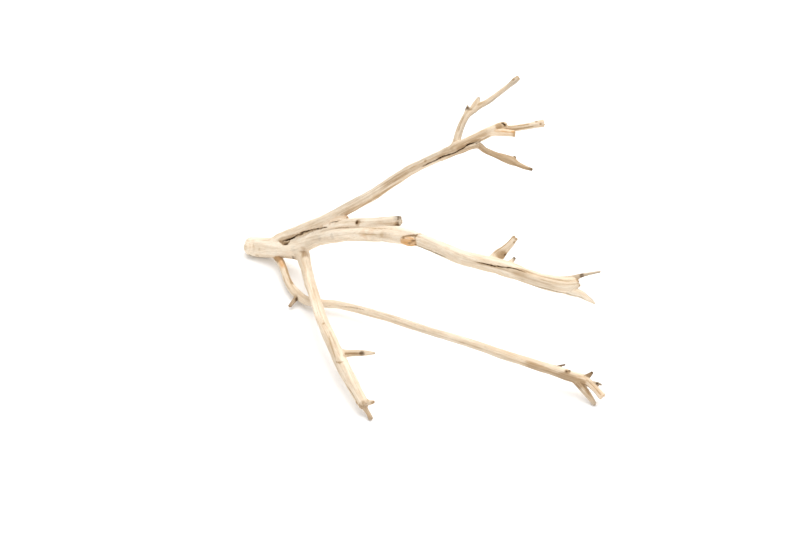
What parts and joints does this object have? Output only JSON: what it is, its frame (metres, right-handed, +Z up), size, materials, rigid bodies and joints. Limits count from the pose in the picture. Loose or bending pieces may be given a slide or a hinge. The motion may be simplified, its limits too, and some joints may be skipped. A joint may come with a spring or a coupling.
{
  "type": "driftwood branch",
  "caption": "Bare weathered driftwood branch that stands on its thick butt and low prop limbs, with long forked limbs rising clear.",
  "frame": {"origin": "on the surface that the branch stands on, under the middle of its outline", "axes": "+X to the right along the limbs, away from the butt; +Y away from the viewer; +Z up"},
  "size_m": [0.4148, 0.3238, 0.2731],
  "materials": {
    "weathered_wood": "dry, bleached, bare wood with fine grain, matt, browner on the upper limb and near knots and cracks"
  },
  "bodies": {
    "root": {"driftwood": "weathered_wood"}
  },
  "joints": []
}
